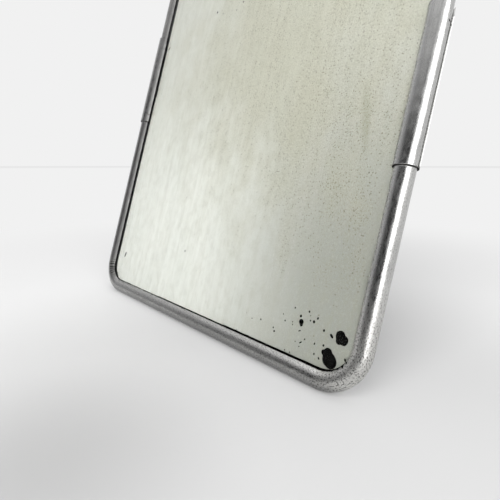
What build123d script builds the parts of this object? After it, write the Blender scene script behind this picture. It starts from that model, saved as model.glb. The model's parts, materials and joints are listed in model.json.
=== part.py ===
from build123d import *
import os
from math import cos, radians, sin, sqrt, tan

# Barber mirror in a slit aluminium tube frame that stands on its bottom edge, leaning
# back on a folding wire stand. Millimetres, +X to the viewer's right, +Y to the back,
# +Z up. The table is at Z = 0, and the mirror and its stand are centred on the origin.

# Overall size of the frame and its lean, with the stand open
FRAME_WIDTH = 200.0
FRAME_HEIGHT = 280.0
LEAN = 18.5

# Frame tube: sheet rolled round with an open slit on its inner side, bent into two halves
TUBE_DIAMETER = 8.0
TUBE_WALL = 0.6
BEND_RADIUS = 15.5
JOINT_GAP = 0.4

# Sheets held in the slit, from the front
GLASS_THICKNESS = 2.5
SILVER_THICKNESS = 0.1
CARD_THICKNESS = 0.3
PLATE_THICKNESS = 0.4
SHEET_INSET = 0.5
SLIT_CLEARANCE = 0.05

# Split sleeves that hold the two halves of the frame together
SLEEVE_LENGTH = 60.0
SLEEVE_WALL = 0.65
SLEEVE_FIT = 0.06
SLEEVE_SLIT_CLEARANCE = 0.15
SLEEVE_TAPER_WIDTH = 1.2
SLEEVE_TAPER_HEIGHT = 4.0
LEFT_SLEEVE_BELOW_JOINT = 21.5
RIGHT_SLEEVE_ABOVE_JOINT = 7.0

# Raised panel pressed into the back plate, which leaves room for the rivets' inner heads
PANEL_BORDER = 16.0
PANEL_CORNER = 10.0
RIVET_TAIL_ROOM = 0.6
PANEL_SLOPE = 45.0

# Stand wire and the bracket that it turns in
WIRE_DIAMETER = 3.0
STAND_HINGE_HEIGHT = 150.0
STAND_OPENING = 36.0
STAND_FOOT_WIDTH = 120.0
STAND_KNEE_RADIUS = 3.5
STAND_FOOT_RADIUS = 9.0
STAND_PIN_PROUD = 3.0
FOLD_CLEARANCE = 0.3
PIVOT_CLEARANCE = 0.08
BRACKET_WIDTH = 66.0
BRACKET_ABOVE_HINGE = 10.0
BRACKET_BELOW_HINGE = 16.0
BRACKET_THICKNESS = 1.0
BRACKET_CORNER = 3.0
EAR_WALL = 2.9
EAR_SIDE_CLEARANCE = 0.6
STOP_PAST_KNEE = 2.0
STOP_LENGTH = 6.0
STOP_CLEARANCE = 0.1

# Rivets of the bracket
RIVET_DIAMETER = 3.0
RIVET_HEAD_DIAMETER = 5.5
RIVET_HEAD_HEIGHT = 1.2
RIVET_TAIL_DIAMETER = 5.0
RIVET_TAIL_HEIGHT = 0.6
RIVET_FROM_SIDE = 11.0
RIVET_FROM_EDGE = 6.0
RIVET_HOLE_CLEARANCE = 0.05

# Hanging ring, its strap and the strap's rivets
RING_WIRE_DIAMETER = 2.0
RING_CORNER_RADIUS = 2.5
RING_BOW_FLAT = 2.0
RING_SIDE_CLEARANCE = 1.0
RING_END_CLEARANCE = 1.5
RING_TOP_CLEARANCE = 2.0
RING_STRAP_CLEARANCE = 0.35
EYE_CLEARANCE = 0.08
STRAP_WIDTH = 9.0
STRAP_THICKNESS = 0.8
STRAP_RIVET_DIAMETER = 2.2
STRAP_RIVET_HEAD_DIAMETER = 4.0
STRAP_RIVET_HEAD_HEIGHT = 0.9
STRAP_RIVET_FIRST = 6.5
STRAP_RIVET_SPACING = 6.0
STRAP_RIVET_FROM_END = 4.0

# Sizes that follow
TUBE_RADIUS = TUBE_DIAMETER / 2
WIRE_RADIUS = WIRE_DIAMETER / 2
RING_WIRE_RADIUS = RING_WIRE_DIAMETER / 2
AXIS_WIDTH = FRAME_WIDTH - TUBE_DIAMETER
AXIS_HEIGHT = FRAME_HEIGHT - TUBE_DIAMETER
JOINT_HEIGHT = AXIS_HEIGHT / 2

# Depths measured from the tube's middle plane, positive towards the viewer
STACK_THICKNESS = GLASS_THICKNESS + SILVER_THICKNESS + CARD_THICKNESS + PLATE_THICKNESS
SLIT_WIDTH = STACK_THICKNESS + 2 * SLIT_CLEARANCE
GLASS_FRONT = STACK_THICKNESS / 2
SILVER_FRONT = GLASS_FRONT - GLASS_THICKNESS
CARD_FRONT = SILVER_FRONT - SILVER_THICKNESS
PLATE_FRONT = CARD_FRONT - CARD_THICKNESS
PLATE_BACK = PLATE_FRONT - PLATE_THICKNESS
PANEL_RISE = RIVET_TAIL_HEIGHT + RIVET_TAIL_ROOM
PANEL_BACK = PLATE_BACK - PANEL_RISE
BRACKET_BACK = PANEL_BACK - BRACKET_THICKNESS
STRAP_BACK = PANEL_BACK - STRAP_THICKNESS
STAND_AXIS_DEPTH = -(max(TUBE_RADIUS, -BRACKET_BACK) + FOLD_CLEARANCE + WIRE_RADIUS)
RING_AXIS_DEPTH = STRAP_BACK - RING_STRAP_CLEARANCE - RING_WIRE_RADIUS

# Directions of the leaning mirror
UP = Vector(0, sin(radians(LEAN)), cos(radians(LEAN)))
FRONT = Vector(0, -cos(radians(LEAN)), sin(radians(LEAN)))

# The open stand, whose crossbar lies on the table
STAND_TILT = STAND_OPENING - LEAN
HINGE_FROM_TUBE = UP * STAND_HINGE_HEIGHT + FRONT * STAND_AXIS_DEPTH
STAND_LENGTH = (TUBE_RADIUS + HINGE_FROM_TUBE.Z - WIRE_RADIUS) / cos(radians(STAND_TILT))
FOOT_FROM_TUBE = HINGE_FROM_TUBE.Y + STAND_LENGTH * sin(radians(STAND_TILT))

# The bottom tube's axis stands so that the whole is centred front to back
BACK_REACH = max(FOOT_FROM_TUBE + WIRE_RADIUS, AXIS_HEIGHT * UP.Y + TUBE_RADIUS)
TUBE_ORIGIN = Vector(0, (TUBE_RADIUS - BACK_REACH) / 2, TUBE_RADIUS)

# The tube's middle plane: X along the width, Y up along the mirror, Z to the viewer
MIRROR_PLANE = Plane(origin=TUBE_ORIGIN, x_dir=(1, 0, 0), z_dir=FRONT)


def at_depth(depth):
    """Plane parallel to the mirror, at a depth from the tube's middle plane."""
    return MIRROR_PLANE.offset(depth)


def mirror_point(across, up, depth=0.0):
    """Point given across, up along the mirror, and in depth from the tube's plane."""
    return TUBE_ORIGIN + Vector(across, 0, 0) + UP * up + FRONT * depth


def side_plane(across, up, depth):
    """Plane seen from the side, with X up along the mirror and Y to the back."""
    return Plane(origin=mirror_point(across, up, depth), x_dir=UP, z_dir=(-1, 0, 0))


def slit_ring(plane, inner_radius, wall, slit_width):
    """Section of a round tube whose slit faces the plane's X direction."""
    outer_radius = inner_radius + wall
    with BuildSketch(plane) as section:
        Circle(outer_radius)
        Circle(inner_radius, mode=Mode.SUBTRACT)
        with Locations((outer_radius, 0)):
            Rectangle(2 * outer_radius, slit_width, mode=Mode.SUBTRACT)
    return section.sketch


def frame_section(line):
    """Section of the frame tube at the start of a line, on the frame's left side."""
    plane = Plane(origin=line @ 0, x_dir=(1, 0, 0), z_dir=line % 0)
    return slit_ring(plane, TUBE_RADIUS - TUBE_WALL, TUBE_WALL, SLIT_WIDTH)


def sheet_outline(front):
    """Outline of the rounded sheets whose edges lie inside the frame tube."""
    with BuildSketch(at_depth(front)) as outline:
        with Locations((0, AXIS_HEIGHT / 2)):
            RectangleRounded(
                AXIS_WIDTH - 2 * SHEET_INSET,
                AXIS_HEIGHT - 2 * SHEET_INSET,
                BEND_RADIUS - SHEET_INSET,
            )
    return outline.sketch


def panel_outline(depth, inset):
    """Outline of the back plate's raised panel, drawn in by an inset."""
    with BuildSketch(at_depth(depth)) as outline:
        with Locations((0, AXIS_HEIGHT / 2)):
            RectangleRounded(
                AXIS_WIDTH - 2 * (PANEL_BORDER + inset),
                AXIS_HEIGHT - 2 * (PANEL_BORDER + inset),
                PANEL_CORNER - inset,
            )
    return outline.sketch


def rivet(carrier_back, shank, head, head_height, tail, tail_height):
    """Rivet through a carrier and the raised panel, with its head's seat at Z = 0."""
    grip = PANEL_BACK - carrier_back + PLATE_THICKNESS
    with BuildPart() as solid:
        with BuildSketch(Plane.XZ):
            with BuildLine():
                TangentArc((0, -head_height), (head / 2, 0), tangent=(1, 0))
                Polyline(
                    (head / 2, 0),
                    (shank / 2, 0),
                    (shank / 2, grip),
                    (tail / 2, grip),
                    (tail / 2, grip + tail_height),
                    (0, grip + tail_height),
                    (0, -head_height),
                )
            make_face()
        revolve(axis=Axis.Z)
    return solid.part


def wire_section(line, radius):
    """Section of a round wire at the start of its line."""
    with BuildSketch(Plane(origin=line @ 0, z_dir=line % 0)) as section:
        Circle(radius)
    return section.sketch


def save(builder, name):
    """Label a finished piece and write its STEP file."""
    builder.part.label = name
    export_step(builder.part, f"parts/{name}.step")


os.makedirs("parts", exist_ok=True)

# Lower half of the frame tube, open at the top
with BuildPart() as lower_frame_tube:
    with BuildLine(MIRROR_PLANE) as lower_line:
        FilletPolyline(
            (-AXIS_WIDTH / 2, JOINT_HEIGHT - JOINT_GAP / 2),
            (-AXIS_WIDTH / 2, 0),
            (AXIS_WIDTH / 2, 0),
            (AXIS_WIDTH / 2, JOINT_HEIGHT - JOINT_GAP / 2),
            radius=BEND_RADIUS,
        )
    sweep(frame_section(lower_line.line), path=lower_line.line)
save(lower_frame_tube, "lower_frame_tube")

# Upper half of the frame tube, open at the bottom
with BuildPart() as upper_frame_tube:
    with BuildLine(MIRROR_PLANE) as upper_line:
        FilletPolyline(
            (-AXIS_WIDTH / 2, JOINT_HEIGHT + JOINT_GAP / 2),
            (-AXIS_WIDTH / 2, AXIS_HEIGHT),
            (AXIS_WIDTH / 2, AXIS_HEIGHT),
            (AXIS_WIDTH / 2, JOINT_HEIGHT + JOINT_GAP / 2),
            radius=BEND_RADIUS,
        )
    sweep(frame_section(upper_line.line), path=upper_line.line)
save(upper_frame_tube, "upper_frame_tube")

# Split sleeves on the side tubes, each with its slit turned inwards
sleeve_outer = TUBE_RADIUS + SLEEVE_FIT + SLEEVE_WALL
sleeve_slit = SLIT_WIDTH + 2 * SLEEVE_SLIT_CLEARANCE
sleeve_lip = sqrt(sleeve_outer**2 - (sleeve_slit / 2) ** 2)
for name, side, bottom in (
    ("left_sleeve", -1, JOINT_HEIGHT - LEFT_SLEEVE_BELOW_JOINT),
    ("right_sleeve", 1, JOINT_HEIGHT + RIGHT_SLEEVE_ABOVE_JOINT - SLEEVE_LENGTH),
):
    across = side * AXIS_WIDTH / 2
    top = bottom + SLEEVE_LENGTH
    with BuildPart() as sleeve:
        foot_plane = Plane(origin=mirror_point(across, bottom), x_dir=(-side, 0, 0), z_dir=UP)
        section = slit_ring(foot_plane, TUBE_RADIUS + SLEEVE_FIT, SLEEVE_WALL, sleeve_slit)
        extrude(section, amount=SLEEVE_LENGTH)
        # the lips' upper corners are cut back
        with BuildSketch(MIRROR_PLANE):
            with BuildLine():
                lip = across - side * sleeve_lip
                Polyline(
                    (lip, top - SLEEVE_TAPER_HEIGHT),
                    (lip, top),
                    (lip + side * SLEEVE_TAPER_WIDTH, top),
                    close=True,
                )
            make_face()
        extrude(amount=sleeve_outer, both=True, mode=Mode.SUBTRACT)
    save(sleeve, name)

# Glass, with the silver coat behind it and the card that guards the silver
with BuildPart() as glass_pane:
    extrude(sheet_outline(GLASS_FRONT), amount=-GLASS_THICKNESS)
save(glass_pane, "glass_pane")

with BuildPart() as silver_coat:
    extrude(sheet_outline(SILVER_FRONT), amount=-SILVER_THICKNESS)
save(silver_coat, "silver_coat")

with BuildPart() as backing_card:
    extrude(sheet_outline(CARD_FRONT), amount=-CARD_THICKNESS)
save(backing_card, "backing_card")

# Back plate: a flat border in the frame's slit round a raised panel of the same sheet
slope = radians(PANEL_SLOPE)
pocket_inset = PLATE_THICKNESS * (1 / cos(slope) - tan(slope))
bracket_height = BRACKET_ABOVE_HINGE + BRACKET_BELOW_HINGE
bracket_middle = STAND_HINGE_HEIGHT + (BRACKET_ABOVE_HINGE - BRACKET_BELOW_HINGE) / 2
rivet_spacing_x = BRACKET_WIDTH - 2 * RIVET_FROM_SIDE
rivet_spacing_y = bracket_height - 2 * RIVET_FROM_EDGE
strap_length = STRAP_RIVET_FIRST + STRAP_RIVET_SPACING + STRAP_RIVET_FROM_END
ring_depth = strap_length + RING_END_CLEARANCE + RING_WIRE_RADIUS
ring_reach = ring_depth + RING_WIRE_RADIUS
eye_height = AXIS_HEIGHT - TUBE_RADIUS - RING_TOP_CLEARANCE - ring_reach
strap_rivets_middle = eye_height - STRAP_RIVET_FIRST - STRAP_RIVET_SPACING / 2
with BuildPart() as back_plate:
    extrude(sheet_outline(PLATE_FRONT), amount=-PLATE_THICKNESS)
    extrude(panel_outline(PLATE_BACK, 0), amount=-PANEL_RISE, taper=PANEL_SLOPE)
    pocket = panel_outline(PLATE_FRONT, pocket_inset)
    extrude(pocket, amount=-PANEL_RISE, taper=PANEL_SLOPE, mode=Mode.SUBTRACT)
    with BuildSketch(at_depth(PLATE_FRONT)):
        with Locations((0, bracket_middle)):
            with GridLocations(rivet_spacing_x, rivet_spacing_y, 2, 2):
                Circle(RIVET_DIAMETER / 2 + RIVET_HOLE_CLEARANCE)
        with Locations((0, strap_rivets_middle)):
            with GridLocations(0, STRAP_RIVET_SPACING, 1, 2):
                Circle(STRAP_RIVET_DIAMETER / 2 + RIVET_HOLE_CLEARANCE)
    extrude(amount=PANEL_BACK - PLATE_FRONT, mode=Mode.SUBTRACT)
save(back_plate, "back_plate")

# Stand wire: a trapezium open at the top, its ends turned in as hinge pins
ear_outside = BRACKET_WIDTH / 2
knee_across = ear_outside + EAR_SIDE_CLEARANCE + STAND_KNEE_RADIUS
pin_end = ear_outside - BRACKET_THICKNESS - STAND_PIN_PROUD
hinge = mirror_point(0, STAND_HINGE_HEIGHT, STAND_AXIS_DEPTH)
leg_down = Vector(0, sin(radians(STAND_TILT)), -cos(radians(STAND_TILT)))
leg_back = Vector(0, cos(radians(STAND_TILT)), sin(radians(STAND_TILT)))
foot_half = STAND_FOOT_WIDTH / 2
with BuildPart() as stand_wire:
    with BuildLine(Plane(origin=hinge, x_dir=(1, 0, 0), z_dir=-leg_back)) as stand_line:
        FilletPolyline(
            (-pin_end, 0),
            (-knee_across, 0),
            (-foot_half, -STAND_LENGTH),
            (foot_half, -STAND_LENGTH),
            (knee_across, 0),
            (pin_end, 0),
            radius=(STAND_KNEE_RADIUS, STAND_FOOT_RADIUS, STAND_FOOT_RADIUS, STAND_KNEE_RADIUS),
        )
    sweep(wire_section(stand_line.line, WIRE_RADIUS), path=stand_line.line)
save(stand_wire, "stand_wire")

# Bracket: a base with two ears for the pins and a lug on each ear that stops the leg
ear_radius = WIRE_RADIUS + PIVOT_CLEARANCE + EAR_WALL
base_depth = PANEL_BACK - STAND_AXIS_DEPTH
leg_spread = (foot_half - knee_across) / STAND_LENGTH
lug_start = STAND_KNEE_RADIUS + WIRE_RADIUS + STOP_PAST_KNEE
lug_back = WIRE_RADIUS + STOP_CLEARANCE
lug_end_across = knee_across + (lug_start + STOP_LENGTH) * leg_spread + WIRE_RADIUS
with BuildPart() as hinge_bracket:
    with BuildSketch(at_depth(PANEL_BACK)):
        with Locations((0, bracket_middle)):
            RectangleRounded(BRACKET_WIDTH, bracket_height, BRACKET_CORNER)
            with GridLocations(rivet_spacing_x, rivet_spacing_y, 2, 2):
                Circle(RIVET_DIAMETER / 2 + RIVET_HOLE_CLEARANCE, mode=Mode.SUBTRACT)
    extrude(amount=-BRACKET_THICKNESS)
    with BuildSketch(side_plane(ear_outside, STAND_HINGE_HEIGHT, STAND_AXIS_DEPTH)):
        Circle(ear_radius)
        with Locations((BRACKET_CORNER - BRACKET_BELOW_HINGE, -base_depth)):
            Rectangle(
                bracket_height - 2 * BRACKET_CORNER,
                BRACKET_THICKNESS,
                align=(Align.MIN, Align.MIN),
            )
        with Locations(Location((0, 0, 0), (0, 0, 180 - STAND_OPENING))):
            with Locations((lug_start, -lug_back)):
                Rectangle(STOP_LENGTH, BRACKET_THICKNESS, align=(Align.MIN, Align.MAX))
        make_hull()
        Circle(WIRE_RADIUS + PIVOT_CLEARANCE, mode=Mode.SUBTRACT)
        # the ear ends flush with the base, in front of which the panel lies
        with Locations((0, -base_depth)):
            Rectangle(
                2 * bracket_height,
                2 * ear_radius,
                align=(Align.CENTER, Align.MAX),
                mode=Mode.SUBTRACT,
            )
    extrude(amount=BRACKET_THICKNESS)
    ear_inside = Vector(ear_outside - BRACKET_THICKNESS, 0, 0)
    with BuildSketch(Plane(origin=hinge + ear_inside, x_dir=leg_down, z_dir=(1, 0, 0))):
        with Locations((lug_start, lug_back)):
            Rectangle(STOP_LENGTH, BRACKET_THICKNESS, align=(Align.MIN, Align.MIN))
    extrude(amount=lug_end_across - ear_inside.X)
    mirror(about=Plane.YZ)
save(hinge_bracket, "hinge_bracket")

# Rivets of the bracket, clinched inside the raised panel
bracket_rivet = rivet(
    BRACKET_BACK,
    RIVET_DIAMETER,
    RIVET_HEAD_DIAMETER,
    RIVET_HEAD_HEIGHT,
    RIVET_TAIL_DIAMETER,
    RIVET_TAIL_HEIGHT,
)
with BuildPart(at_depth(BRACKET_BACK)) as hinge_rivets:
    with Locations((0, bracket_middle)):
        with GridLocations(rivet_spacing_x, rivet_spacing_y, 2, 2):
            add(bracket_rivet)
save(hinge_rivets, "hinge_rivets")

# Strap of the hanging ring: a flat tongue whose upper end is rolled into an eye
eye_inner = RING_WIRE_RADIUS + EYE_CLEARANCE
eye_outer = eye_inner + STRAP_THICKNESS
with BuildPart() as ring_strap:
    with BuildSketch(side_plane(STRAP_WIDTH / 2, eye_height, RING_AXIS_DEPTH)):
        with Locations((-strap_length, RING_AXIS_DEPTH - PANEL_BACK)):
            Rectangle(strap_length, STRAP_THICKNESS, align=(Align.MIN, Align.MIN))
        Circle(eye_outer)
        Circle(eye_inner, mode=Mode.SUBTRACT)
    extrude(amount=STRAP_WIDTH)
    with BuildSketch(at_depth(PANEL_BACK)):
        with Locations((0, strap_rivets_middle)):
            with GridLocations(0, STRAP_RIVET_SPACING, 1, 2):
                Circle(STRAP_RIVET_DIAMETER / 2 + RIVET_HOLE_CLEARANCE)
    extrude(amount=-STRAP_THICKNESS, mode=Mode.SUBTRACT)
save(ring_strap, "ring_strap")

strap_rivet = rivet(
    STRAP_BACK,
    STRAP_RIVET_DIAMETER,
    STRAP_RIVET_HEAD_DIAMETER,
    STRAP_RIVET_HEAD_HEIGHT,
    STRAP_RIVET_HEAD_DIAMETER,
    RIVET_TAIL_HEIGHT,
)
with BuildPart(at_depth(STRAP_BACK)) as strap_rivets:
    with Locations((0, strap_rivets_middle)):
        with GridLocations(0, STRAP_RIVET_SPACING, 1, 2):
            add(strap_rivet)
save(strap_rivets, "strap_rivets")

# Hanging ring: a closed D of wire that hangs plumb from the strap's eye
ring_half = STRAP_WIDTH / 2 + RING_SIDE_CLEARANCE + RING_CORNER_RADIUS
bow_radius = ring_half - RING_BOW_FLAT / 2
with BuildPart() as hanging_ring:
    ring_origin = mirror_point(0, eye_height, RING_AXIS_DEPTH)
    with BuildLine(Plane(origin=ring_origin, x_dir=(1, 0, 0), z_dir=(0, -1, 0))) as ring_line:
        FilletPolyline(
            (-ring_half, 0),
            (ring_half, 0),
            (ring_half, -ring_depth),
            (-ring_half, -ring_depth),
            radius=(RING_CORNER_RADIUS, RING_CORNER_RADIUS, bow_radius, bow_radius),
            close=True,
        )
    sweep(wire_section(ring_line.line, RING_WIRE_RADIUS), path=ring_line.line)
save(hanging_ring, "hanging_ring")
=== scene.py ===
import json
from math import asin, atan2, cos, exp, pi, radians, sin, sqrt, tan

import bmesh
import bpy
from bpy.props import FloatProperty, FloatVectorProperty, IntProperty, PointerProperty
from mathutils import Matrix, Vector, noise


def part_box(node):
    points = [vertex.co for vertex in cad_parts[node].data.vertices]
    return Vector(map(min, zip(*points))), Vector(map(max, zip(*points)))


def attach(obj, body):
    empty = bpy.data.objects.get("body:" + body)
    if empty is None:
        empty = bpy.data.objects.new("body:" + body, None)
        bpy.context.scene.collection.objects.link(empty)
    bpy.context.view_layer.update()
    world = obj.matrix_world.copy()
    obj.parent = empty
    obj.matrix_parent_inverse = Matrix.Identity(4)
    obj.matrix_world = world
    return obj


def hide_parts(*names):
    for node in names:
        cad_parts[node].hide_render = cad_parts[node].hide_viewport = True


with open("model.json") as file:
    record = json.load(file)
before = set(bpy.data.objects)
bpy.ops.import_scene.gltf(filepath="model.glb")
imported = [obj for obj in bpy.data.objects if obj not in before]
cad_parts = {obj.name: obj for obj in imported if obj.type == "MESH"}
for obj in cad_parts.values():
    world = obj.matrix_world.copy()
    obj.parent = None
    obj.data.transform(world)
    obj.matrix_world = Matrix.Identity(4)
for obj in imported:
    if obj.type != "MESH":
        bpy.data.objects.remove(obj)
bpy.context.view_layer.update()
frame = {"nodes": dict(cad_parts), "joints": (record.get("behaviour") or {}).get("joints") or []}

bl_info = {
    "name": "Barber mirror",
    "version": (1, 0, 0),
    "blender": (4, 5, 0),
    "location": "View3D > Sidebar > Barber mirror",
    "description": "Dresses a barber mirror: slit tube frame, old silvering, pressed back, stand and ring",
    "category": "Object",
}

# The mirror's own directions: across to the viewer's right, up the glass, and out to the viewer
ACROSS = Vector((1, 0, 0))
UP = Vector(next(j["axis"] for j in frame["joints"] if j["name"] == "left_sleeve_slide"))
FRONT = ACROSS.cross(UP)

# Spots where the silver has gone: from the right tube's axis, up from the bottom tube's axis,
# length, width (all in millimetres) and tilt of the length from upright in degrees
BARE_SPOTS = (
    (29.1, 20.5, 1.0, 0.9, 0), (25.6, 23.3, 0.8, 0.7, 10), (22.5, 20.0, 1.1, 0.9, 20),
    (21.1, 21.8, 0.9, 0.7, -15), (24.2, 20.0, 0.6, 0.6, 0), (24.6, 21.9, 0.4, 0.35, 0),
    (32.7, 23.0, 0.65, 0.6, 0), (17.3, 18.1, 0.9, 0.8, 0), (13.6, 17.1, 1.7, 0.9, 50),
    (16.1, 12.6, 0.8, 0.7, -20), (19.3, 8.1, 0.7, 0.6, 10), (16.9, 7.2, 0.9, 0.6, 40),
    (6.1, 10.4, 1.2, 0.7, 30), (40.7, 10.6, 0.8, 0.8, 0), (41.6, 11.9, 0.65, 0.6, 0),
    (36.3, 16.5, 0.65, 0.6, 0), (37.9, 18.9, 0.5, 0.4, 0), (32.2, 16.0, 0.5, 0.45, 0),
    (32.5, 17.1, 0.5, 0.45, 0), (49.4, 13.2, 0.7, 0.7, 0), (54.6, 12.2, 0.5, 0.5, 0),
    (24.9, 12.1, 0.6, 0.6, 0), (26.5, 10.3, 1.2, 0.5, -50), (20.1, 11.9, 0.9, 0.5, -10),
    (28.2, 14.6, 1.1, 0.45, -60), (29.1, 9.9, 0.5, 0.4, 0), (26.8, 8.5, 0.5, 0.45, 0),
    (33.2, 4.9, 0.6, 0.5, 0), (30.6, 4.8, 0.6, 0.5, 0), (178.8, 20.9, 3.3, 1.3, -14),
    (114.7, 33.8, 0.9, 0.8, 0), (184.2, 167.0, 2.4, 0.9, -38), (136.7, 179.5, 1.2, 1.1, 0),
    (130.8, 177.0, 0.7, 0.6, 0), (118.5, 175.7, 0.7, 0.6, 0), (113.8, 179.1, 0.9, 0.8, 0),
)

# Larger bare patches, each of overlapping round lobes: place as above, and radius
BARE_PATCHES = (
    ((9.7, 17.6, 2.1), (8.4, 17.0, 1.95), (10.0, 18.3, 2.0), (10.1, 16.4, 1.5)),
    ((12.6, 8.3, 2.9), (13.6, 10.6, 1.9), (15.4, 10.2, 1.1), (11.8, 7.7, 2.7)),
    ((28.3, 18.3, 1.15), (28.0, 17.2, 0.75)),
)

# Nicks in the front lip of the lower right bend: angle round the bend from the bottom,
# half width and depth in millimetres
LIP_NICKS = ((31, 0.6, 0.5), (43, 0.6, 0.8), (55, 1.0, 2.2), (66, 0.9, 2.0), (78, 0.6, 0.7))

# Place of the camera in the row frame, and how many degrees it looks down and to the left
CAMERA_PLACE = (0.15386, -0.15765, 0.08382)
CAMERA_PITCH, CAMERA_YAW = 12.80, 45.07

# Middles of the wide and the narrow dim patch on the table, both close to the camera
DIM_PLACE, DARK_PLACE = (0.11, -0.11, 0.0), (0.05, -0.14, 0.0)

# Point on the mirror that the lamps are turned to
LAMP_TARGET = Vector((0, 0, 0.1))


def length(name, default, description):
    """Property for a size in metres."""
    return FloatProperty(
        name=name, description=description, default=default, min=0, unit="LENGTH", precision=5
    )


def amount(name, default, description):
    """Property for a plain number."""
    return FloatProperty(name=name, description=description, default=default, min=0)


def colour(name, default, description):
    """Property for a linear colour."""
    return FloatVectorProperty(
        name=name, description=description, default=default, min=0, max=1, subtype="COLOR"
    )


class MirrorSizes(bpy.types.PropertyGroup):
    """Sizes of the mirror's pieces."""

    tube_diameter: length("Tube diameter", 0.008, "Outside diameter of the frame tube")
    tube_wall: length("Tube wall", 0.0006, "Thickness of the sheet that the tube is rolled from")
    tube_slit: length("Tube slit", 0.0034, "Width of the open slit along the tube's inner side")
    bend_radius: length("Bend radius", 0.0155, "Radius of the frame's corners at the tube's axis")
    fold_depth: length("Fold depth", 0.0003, "Depth of the folds at the inside of the lower left bend")
    fold_length: length("Fold length", 0.0019, "Distance from one fold to the next")
    dent_depth: length("Dent depth", 0.00006, "Depth of the shallow dents along the tube")
    sleeve_diameter: length("Sleeve diameter", 0.00942, "Outside diameter of the sleeves")
    sleeve_wall: length("Sleeve wall", 0.00065, "Thickness of the sleeves' wall")
    sleeve_slit: length("Sleeve slit", 0.0037, "Width of the sleeves' slit")
    sleeve_cutback: length("Sleeve cutback", 0.0012, "How far the lips' upper corners are cut back")
    sleeve_cut_height: length("Sleeve cut height", 0.004, "Height of the cut at the lips' upper corners")
    sleeve_flare: length("Sleeve flare", 0.00054, "How far the mouths are opened from inside")
    sleeve_dent: length("Sleeve dents", 0.00007, "Depth of the shallow dents in the sleeves")
    crease_depth: length("Crease depth", 0.00014, "Depth of the creases across the left sleeve")
    crease_length: length("Crease length", 0.0052, "Distance from one crease to the next")
    sheet_inset: length("Sheet inset", 0.0005, "From the tube's axis to the edges of glass and sheet")
    silver_depth: length("Silver depth", 0.00086, "From the tube's middle plane back to the silver")
    silver_thickness: length("Silver thickness", 0.00006, "Thickness of the silver and its paint")
    silver_border: length("Silver border", 0.0042, "From the tube's axis to the edge of sound silver")
    left_border_extra: length("Left border", 0.0008, "How much wider the bare border is at the left")
    border_step_height: length("Border step", 0.1325, "Height of the step in the left border")
    plate_front: length("Plate front", 0.00125, "From the tube's middle plane back to the plate")
    plate_thickness: length("Plate thickness", 0.0004, "Thickness of the back plate's sheet")
    panel_border: length("Panel border", 0.016, "From the tube's axis to the raised panel")
    panel_corner: length("Panel corner", 0.010, "Radius of the raised panel's corners")
    panel_rise: length("Panel rise", 0.0012, "Height of the raised panel")
    wire_diameter: length("Stand wire", 0.003, "Diameter of the stand's wire")
    stand_foot_width: length("Stand foot", 0.12, "Width of the stand at the table")
    stand_knee_width: length("Stand knees", 0.0742, "Width of the stand at its hinge")
    stand_pin_gap: length("Pin gap", 0.058, "Distance between the ends of the stand's pins")
    stand_knee_radius: length("Knee radius", 0.0035, "Bend at the top of the stand's legs")
    stand_foot_radius: length("Foot radius", 0.009, "Bend at the foot of the stand's legs")
    ring_wire: length("Ring wire", 0.002, "Diameter of the hanging ring's wire")
    ring_corner: length("Ring corner", 0.0025, "Bend beside the ring's bar")
    ring_flat: length("Ring flat", 0.002, "Straight part at the middle of the ring's bow")
    edge_round: length("Edge rounding", 0.00016, "Rounding of the stamped edges")


class MirrorFinish(bpy.types.PropertyGroup):
    """Colours of the mirror's finishes."""

    aluminium: colour("Aluminium", (0.52, 0.52, 0.515), "Worn aluminium of the frame tube")
    # Dark colour of real dirt in pits and specks; the tube's folds, the rings under the sleeves' edges, the
    # tube ends and the tube's inner wall are also painted with it as shade
    grime_and_shade: colour("Grime", (0.018, 0.017, 0.015), "Dirt in folds, pits and under edges")
    silver: colour("Silver", (0.945, 0.95, 0.90), "Old silvering where it is sound")
    shaded_silver: colour("Shaded silver", (0.365, 0.37, 0.335), "Old silvering where it has dulled")
    # Painted reflection: the silver turns to this colour towards the right, for the darker room that side
    # reflects
    worn_silver: colour("Worn silver", (0.70, 0.70, 0.64), "Old silvering in the upper part")
    stain: colour("Stain", (0.54, 0.52, 0.38), "Yellow stain in the silvering")
    tinned: colour("Tinned sheet", (0.50, 0.51, 0.51), "Dull tin of the back plate")
    steel: colour("Plated steel", (0.46, 0.46, 0.455), "Zinc plating of bracket and strap")
    nickel: colour("Nickel", (0.60, 0.585, 0.55), "Nickel plating of stand and ring")
    rust: colour("Rust", (0.16, 0.075, 0.03), "Rust at worn places on the steel")


class StudioSettings(bpy.types.PropertyGroup):
    """Floor, light and camera."""

    floor: colour("Floor", (0.78, 0.78, 0.78), "Pale floor")
    backdrop: colour("Backdrop", (0.88, 0.88, 0.88), "Background behind the floor")
    room_light: amount("Room light", 0.47, "How much the backdrop lights the table")
    near_dimming: amount("Near dimming", 0.74, "Share of the table's colour left near the camera")
    window_power: amount("Window", 10.0, "Power of the large lamp at the right")
    front_power: amount("Front light", 13.5, "Power of the lamp high in front")
    top_power: amount("Top light", 4.5, "Power of the lamp overhead")
    focal_length: amount("Focal length", 27.0, "Camera's lens in millimetres on a 36 mm sensor")
    seed: IntProperty(name="Seed", description="Start of the random patterns", default=7, min=0)


def sizes():
    return bpy.context.scene.mirror_sizes


def finish():
    return bpy.context.scene.mirror_finish


def studio():
    return bpy.context.scene.mirror_studio


def mirror_matrix():
    """From the mirror's plane (X across, Y up, Z to the viewer) to the row frame."""
    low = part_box("lower_frame_tube")[0]
    radius = sizes().tube_diameter / 2
    matrix = Matrix((ACROSS, UP, FRONT)).transposed().to_4x4()
    matrix.translation = (0, low.y + radius, low.z + radius)
    return matrix


def height_up(z, reach):
    """Height up the mirror of a level whose edge stands a reach above it."""
    return (z - reach - mirror_matrix().translation.z) / UP.z


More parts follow.
